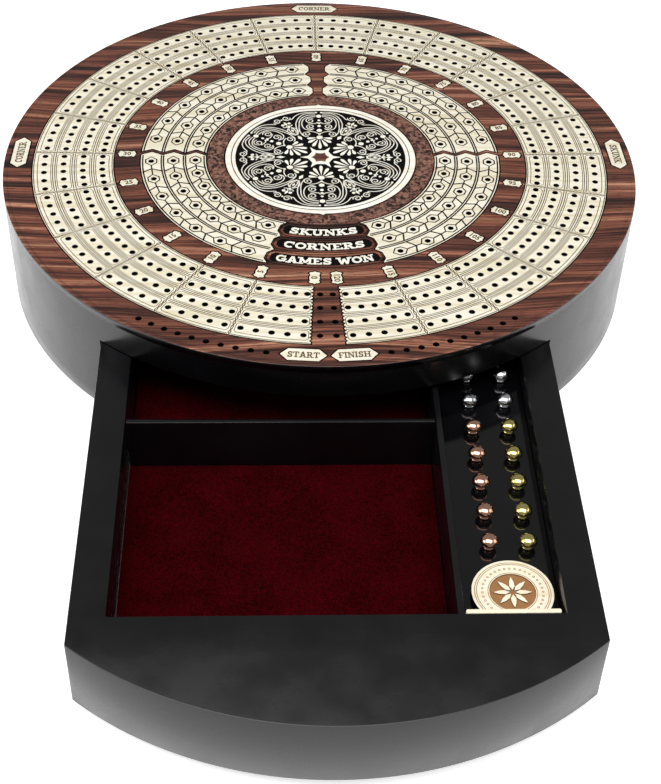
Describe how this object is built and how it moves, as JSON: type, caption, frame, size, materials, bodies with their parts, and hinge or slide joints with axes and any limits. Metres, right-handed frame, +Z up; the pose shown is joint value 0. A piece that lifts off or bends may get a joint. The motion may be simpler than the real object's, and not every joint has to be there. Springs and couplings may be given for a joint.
{
  "type": "round cribbage board with drawer",
  "caption": "Round four-track cribbage board: a lacquered drum with an inlaid wooden face and a drawer that slides out with card wells, pegs and a token.",
  "frame": {"origin": "centre of the base panel's flat underside", "axes": "+Z up through the board's face, -Y the way the drawer slides out, +X to the right of someone facing the drawer"},
  "size_m": [0.254, 0.3912, 0.0479],
  "materials": {
    "black_lacquer": "black lacquered hardwood, satin gloss, closed grain",
    "gloss_lacquer": "black lacquered hardwood, high gloss",
    "rosewood": "oiled and polished rosewood, straight grain, laser engraved",
    "maple": "sanded maple inlay with laser-cut lines, satin",
    "ebonised": "near-black laser-scorched plate with white-filled lettering",
    "velvet": "wine-red velvet",
    "magnet": "nickel-plated disc magnet",
    "copper": "polished copper plate",
    "nickel": "polished black nickel plate",
    "gold": "polished gold plate",
    "silver": "polished silver plate"
  },
  "bodies": {
    "drum": {"base_panel": "black_lacquer", "left_cheek": "black_lacquer", "right_cheek": "black_lacquer", "back_block": "black_lacquer", "top_panel": "black_lacquer", "rosewood_face": "rosewood", "block_magnet": "magnet", "track_ring": "maple", "medallion": "maple", "score_inlay_front_left": "maple", "score_inlay_front_right": "maple", "score_inlay_back_left": "maple", "score_inlay_back_right": "maple", "plate_skunks": "ebonised", "plate_corners": "ebonised", "plate_games_won": "ebonised", "plaque_start": "maple", "plaque_finish": "maple", "plaque_corner_left": "maple", "plaque_corner_back": "maple", "plaque_skunk_right": "maple"},
    "drawer": {"drawer_front": "black_lacquer", "drawer_side_left": "black_lacquer", "drawer_side_right": "black_lacquer", "drawer_back": "black_lacquer", "drawer_bottom": "black_lacquer", "card_divider": "black_lacquer", "peg_partition": "black_lacquer", "peg_block": "gloss_lacquer", "velvet_pad_front": "velvet", "velvet_pad_rear": "velvet", "token": "maple", "token_keeper": "maple", "drawer_magnet": "magnet", "peg_nickel_2": "nickel", "peg_nickel_3": "nickel", "peg_nickel_4": "nickel", "peg_nickel_5": "nickel", "peg_silver_2": "silver", "peg_silver_3": "silver", "peg_silver_4": "silver", "peg_silver_5": "silver"},
    "peg_copper_1_body": {"peg_copper_1": "copper"},
    "peg_copper_2_body": {"peg_copper_2": "copper"},
    "peg_copper_3_body": {"peg_copper_3": "copper"},
    "peg_copper_4_body": {"peg_copper_4": "copper"},
    "peg_copper_5_body": {"peg_copper_5": "copper"},
    "peg_nickel_1_body": {"peg_nickel_1": "nickel"},
    "peg_gold_1_body": {"peg_gold_1": "gold"},
    "peg_gold_2_body": {"peg_gold_2": "gold"},
    "peg_gold_3_body": {"peg_gold_3": "gold"},
    "peg_gold_4_body": {"peg_gold_4": "gold"},
    "peg_gold_5_body": {"peg_gold_5": "gold"},
    "peg_silver_1_body": {"peg_silver_1": "silver"}
  },
  "joints": [
    {"name": "drawer_slide", "type": "slide", "parent": "drum", "child": "drawer", "axis": [0, -1, 0], "range_m": [-0.1373, 0]},
    {"name": "peg_copper_1_lift", "type": "slide", "parent": "drawer", "child": "peg_copper_1_body", "axis": [0, 0, 1], "range_m": [0, 0.016]},
    {"name": "peg_copper_2_lift", "type": "slide", "parent": "drawer", "child": "peg_copper_2_body", "axis": [0, 0, 1], "range_m": [0, 0.016]},
    {"name": "peg_copper_3_lift", "type": "slide", "parent": "drawer", "child": "peg_copper_3_body", "axis": [0, 0, 1], "range_m": [0, 0.016]},
    {"name": "peg_copper_4_lift", "type": "slide", "parent": "drawer", "child": "peg_copper_4_body", "axis": [0, 0, 1], "range_m": [0, 0.016]},
    {"name": "peg_copper_5_lift", "type": "slide", "parent": "drawer", "child": "peg_copper_5_body", "axis": [0, 0, 1], "range_m": [0, 0.016]},
    {"name": "peg_nickel_1_lift", "type": "slide", "parent": "drawer", "child": "peg_nickel_1_body", "axis": [0, 0, 1], "range_m": [0, 0.016]},
    {"name": "peg_gold_1_lift", "type": "slide", "parent": "drawer", "child": "peg_gold_1_body", "axis": [0, 0, 1], "range_m": [0, 0.016]},
    {"name": "peg_gold_2_lift", "type": "slide", "parent": "drawer", "child": "peg_gold_2_body", "axis": [0, 0, 1], "range_m": [0, 0.016]},
    {"name": "peg_gold_3_lift", "type": "slide", "parent": "drawer", "child": "peg_gold_3_body", "axis": [0, 0, 1], "range_m": [0, 0.016]},
    {"name": "peg_gold_4_lift", "type": "slide", "parent": "drawer", "child": "peg_gold_4_body", "axis": [0, 0, 1], "range_m": [0, 0.016]},
    {"name": "peg_gold_5_lift", "type": "slide", "parent": "drawer", "child": "peg_gold_5_body", "axis": [0, 0, 1], "range_m": [0, 0.016]},
    {"name": "peg_silver_1_lift", "type": "slide", "parent": "drawer", "child": "peg_silver_1_body", "axis": [0, 0, 1], "range_m": [0, 0.016]}
  ]
}
